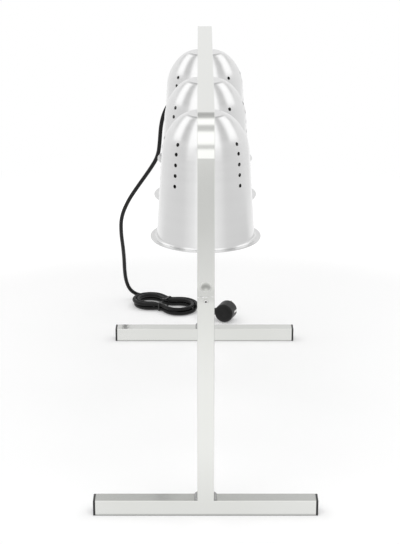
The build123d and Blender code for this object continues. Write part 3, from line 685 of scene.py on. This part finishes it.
foot_metal = satin_tube("satin_aluminium_foot", (ALONG, ACROSS, ACROSS))
leg_metal = satin_tube("satin_aluminium_leg", (ACROSS, ACROSS, ALONG), leg=True)
dress(foot_metal, "foot_tube_front", "foot_tube_rear")
dress(leg_metal, "lower_leg_front", "lower_leg_rear", "top_frame", "leg_spigot_front", "leg_spigot_rear")
print("tube dressed")

# %% [markdown]
# Welds
#
# Each leg stands on its foot with a weld down either side. The solid has a plain wedge there. A real bead
# is a row of small overlapping pools. A bump in the material would leave its outline straight, so a
# rippled quarter round is laid over the wedge: rings of points along the corner, each a little larger or
# smaller than the last. It is duller than the drawn tube, and much darker: partly weld metal, partly
# painted shade where the bead sits in the corner beside the leg.

# %% Weld beads
BEAD_HALF = 11.4
BEAD_SIZE = 4.5
BEAD_RIPPLE = 0.35
BEAD_POOL = 2.3
POOL_ROUND = 0.7
BEAD_DRAG = 0.5
BEAD_END, BEAD_END_SIZE = 2.2, 0.35
BEAD_RINGS = 64
BEAD_ARC = 9

# The dark greys are partly the bead's own dull metal and partly painted shade beside the leg.
weld_metal_and_shade = clouded("weld_aluminium_and_shade", dark=grey(0.32), pale=grey(0.48), roughness=0.28, scale=260.0,
                     drift=0.2, Metallic=1.0)


def bead_ring(side, along):
    """One ring of a bead, its corner and then its arc: across, along and up from the corner's middle."""
    end = min(1.0, (BEAD_HALF - abs(along)) / BEAD_END)
    end_share = BEAD_END_SIZE + (1 - BEAD_END_SIZE) * math.sqrt(end * (2 - end))
    pool = abs(math.sin(math.pi * along / BEAD_POOL)) ** POOL_ROUND
    size = (BEAD_SIZE + BEAD_RIPPLE * (pool - 0.5)) * end_share
    points = [(0.0, along * MM, 0.0)]
    for step in range(BEAD_ARC):
        angle = math.pi / 2 * step / (BEAD_ARC - 1)
        drag = BEAD_DRAG * math.sin(2 * angle)
        out, up = side * size * math.cos(angle), size * math.sin(angle)
        points.append((out * MM, (along - drag) * MM, up * MM))
    return points


def weld_bead(name, side, leg):
    """A bead at one side of a leg: side is -1 at the left and 1 at the right."""
    low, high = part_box(leg)
    middle = (low.y + high.y) / 2
    foot_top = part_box(leg.replace("lower_leg", "foot_tube"))[1].z
    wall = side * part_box("top_frame")[1].x
    points, faces = [], []
    for ring in range(BEAD_RINGS + 1):
        along = BEAD_HALF * (2 * ring / BEAD_RINGS - 1)
        points += [(wall + x, middle + y, foot_top + z) for x, y, z in bead_ring(side, along)]
    count = BEAD_ARC + 1
    for ring in range(BEAD_RINGS):
        for step in range(count):
            a, b = ring * count + step, ring * count + (step + 1) % count
            faces.append((a, b, b + count, a + count)[::-side])
    faces.append(tuple(range(count))[::side])
    faces.append(tuple(BEAD_RINGS * count + step for step in range(count))[::-side])
    mesh = bpy.data.meshes.new(name)
    mesh.from_pydata(points, [], faces)
    mesh.polygons.foreach_set("use_smooth", [len(face) == 4 for face in faces])
    mesh.materials.append(weld_metal_and_shade)
    bead = bpy.data.objects.new(name, mesh)
    bpy.context.scene.collection.objects.link(bead)
    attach(bead, "stand")


for place in ("front", "rear"):
    weld_bead(f"weld_bead_{place}_left", -1, f"lower_leg_{place}")
    weld_bead(f"weld_bead_{place}_right", 1, f"lower_leg_{place}")
print("four beads laid")

# %% [markdown]
# Spun shades
#
# Each shade was spun on a lathe from a flat disc: a tool pressed it over a form, and left rings so fine
# that they only stretch the highlights. Rings by height alone would run together on the flat crown. So
# they are noise on height less radius, which falls all the way from the crown over the shoulder and down
# the wall.

# %% Spun shades
RINGS, BANDS = 900.0, 60.0
RINGS_SHARE, RING_DRIFT = 0.4, 0.02
SHADE_DARK, SHADE_PALE = 0.79, 0.82
SHADE_MATT, BANDS_MATT, RINGS_MATT = 0.19, 0.05, 0.02
SHADE_BUMP = 0.012


def spun_aluminium():
    low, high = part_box("lamp_shade_front")
    width, tall = high.x - low.x, high.z - low.z
    material, start = finish("spun_aluminium", Metallic=1.0)
    x, y, z = start.make("TexCoord", output="Generated").parts()
    radius = ((x - 0.5) * width).reach((y - 0.5) * width)
    ring_place = start.make("CombineXYZ", inputs={0: z * tall - radius, 1: radius * RING_DRIFT})
    rings = ring_place.noise(RINGS, 3.0, 0.6)
    bands = ring_place.noise(BANDS, 2.0)
    tone = (RINGS_SHARE * rings + (1 - RINGS_SHARE) * bands).ease(*NOISE_RANGE)
    feed(material, Base_Color=tone.mix(grey(SHADE_DARK), grey(SHADE_PALE)),
         Roughness=SHADE_MATT + BANDS_MATT * bands + RINGS_MATT * rings,
         Normal=bump(rings + bands, SHADE_BUMP))
    return material


dress(spun_aluminium(), *[f"lamp_shade_{place}" for place in LAMPS])
print("shades dressed")

# %% [markdown]
# Black plastic and rubber
#
# Moulded black plastic is never flat black: it has a fine grain, a soft sheen and slightly paler, rubbed
# places. One black for all would make the cord look like plastic too, so the rubber of the cord is darker
# and has less sheen than the end caps.

# %% Plastics
RUBBED = (0.35, 0.75)
RUBBED_SCALE, RUBBED_MATT = 60.0, 0.15
GRAIN_BUMP = 0.15


def moulded(name, dark, pale, matt, grain, gloss=0.5):
    material, start = finish(name, Specular_IOR_Level=gloss)
    place = start.make("TexCoord", output="Object")
    clouds = place.noise(RUBBED_SCALE, 3.0)
    feed(material, Base_Color=clouds.ease(*RUBBED).mix(grey(dark), grey(pale)),
         Roughness=matt + RUBBED_MATT * clouds, Normal=bump(place.noise(grain, 2.0), GRAIN_BUMP))
    return material


cap_plastic = moulded("black_end_cap", dark=0.018, pale=0.035, matt=0.35, grain=2200.0)
plug_plastic = moulded("black_plug", dark=0.006, pale=0.013, matt=0.34, grain=1800.0, gloss=0.26)
cord_rubber = moulded("black_cord_rubber", dark=0.004, pale=0.008, matt=0.36, grain=2600.0, gloss=0.24)
for place in ("front", "rear"):
    dress(cap_plastic, f"foot_end_cap_{place}_left", f"foot_end_cap_{place}_right")
dress(cap_plastic, "cable_tie", "gland_nut")
dress(plug_plastic, "plug_body", "cord_gland")
dress(cord_rubber, "cord_inner_end")
cord_curve.materials.append(cord_rubber)
print("plastics dressed")

# %% [markdown]
# Plated steel, brass and wire
#
# Screws, plug pins and the nipples that the lamps hang on are plated steel, and the lamp holders have
# brass inside. Each could be modelled with its own wear, but they are small or hidden, so one drifting
# plating serves them all. Only the screws add something: shadow and dirt in the hexagon drive.

# %% Plated metals
PLATING_SCALE, PLATING_DRIFT = 180.0, 0.12
DRIVE_EDGE, DRIVE_DARK = (0.0012, 0.0016), 0.02


def plated(name, dark, pale, roughness, warm=0.02):
    return clouded(name, grey(dark, warm), grey(pale, warm), roughness, PLATING_SCALE, PLATING_DRIFT,
                   Metallic=1.0)


def screw_steel():
    """Plated steel with shadow and dirt in the hexagon drive."""
    low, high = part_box("leg_screws")
    material = plated("screw_steel", dark=0.62, pale=0.78, roughness=0.2)
    start = Term(material.node_tree)
    shader = material.node_tree.nodes["Principled BSDF"]
    plating = Term(material.node_tree, shader.inputs["Base Color"].links[0].from_socket)
    x, _, z = start.make("TexCoord", output="Object").parts()
    outside_drive = x.reach(z - (low.z + high.z) / 2).ease(*DRIVE_EDGE)
    feed(material, Base_Color=outside_drive.mix(grey(DRIVE_DARK), plating))
    return material


steel = plated("plated_steel", dark=0.62, pale=0.78, roughness=0.18)
dull_wire = plated("filament_wire", dark=0.25, pale=0.36, roughness=0.4)
cap_metal = plated("bulb_cap_metal", dark=0.66, pale=0.78, roughness=0.22)
brass = plated("brass", dark=0.50, pale=0.62, roughness=0.2, warm=0.55)
dress(screw_steel(), "leg_screws")
dress(steel, "plug_pins", "plug_earth_clips", "earth_tag")
for place in LAMPS:
    dress(steel, f"nipple_{place}", f"lock_washer_{place}", f"lock_nut_{place}")
    dress(brass, f"screw_shell_{place}", f"centre_contact_{place}")
    dress(cap_metal, f"bulb_cap_{place}")
    dress(dull_wire, f"bulb_filament_{place}")
print("plated metals dressed")

# %% [markdown]
# Porcelain and wiring
#
# The lamp holders and terminal blocks are white porcelain, because plastic would not bear the heat. Glaze
# could be a second, clear layer of mesh. The shader's coat does the same with no mesh at all. The wires
# have the usual colours: brown, blue, and green that drifts to yellow for earth.

# %% Porcelain and wiring
SMOOTH_SCALE, SMOOTH_DRIFT = 120.0, 0.1


def smooth_colour(name, dark, pale, roughness, coat=0.0):
    return clouded(name, (*dark, 1.0), (*pale, 1.0), roughness, SMOOTH_SCALE, SMOOTH_DRIFT,
                   Coat_Weight=coat)


porcelain = smooth_colour("white_porcelain", (0.80, 0.79, 0.75), (0.87, 0.86, 0.83), 0.15, coat=0.5)
sleeve = smooth_colour("white_lead_sleeve", (0.74, 0.73, 0.69), (0.84, 0.83, 0.80), 0.6)
brown = smooth_colour("brown_core", (0.13, 0.055, 0.025), (0.19, 0.085, 0.04), 0.35)
blue = smooth_colour("blue_core", (0.03, 0.11, 0.36), (0.05, 0.17, 0.48), 0.35)
earth = smooth_colour("earth_core", (0.16, 0.42, 0.05), (0.62, 0.62, 0.06), 0.35)
dress(porcelain, "terminal_blocks", *[f"lamp_holder_{place}" for place in LAMPS])
dress(sleeve, *[f"lamp_leads_{place}" for place in LAMPS])
dress(brown, "live_core")
dress(blue, "neutral_core")
dress(earth, "earth_core")
print("porcelain and wiring dressed")

# %% [markdown]
# Bulbs
#
# A reflector heat bulb has a frosted face below and a silvered cone above, on one glass. Two materials on
# two sets of faces would meet in a hard line. So one finish turns from frosted glass to metal by height.

# %% Bulb glass
SILVER_STARTS = (0.432, 0.440)
FROST, SILVER = grey(0.88, 0.02), grey(0.80)
FROST_MATT, SILVER_SMOOTHER = 0.42, 0.24
FROST_SCALE, FROST_DRIFT = 700.0, 0.06


def bulb_glass():
    material, start = finish("frosted_bulb_glass", Transmission_Weight=0.35, IOR=1.45)
    place = start.make("TexCoord", output="Object")
    _, _, z = place.parts()
    silver = z.ease(*SILVER_STARTS)
    feed(material, Base_Color=silver.mix(FROST, SILVER), Metallic=silver,
         Roughness=FROST_MATT - silver * SILVER_SMOOTHER + place.noise(FROST_SCALE, 2.0) * FROST_DRIFT)
    return material


dress(bulb_glass(), *[f"bulb_glass_{place}" for place in LAMPS])
print("bulbs dressed")
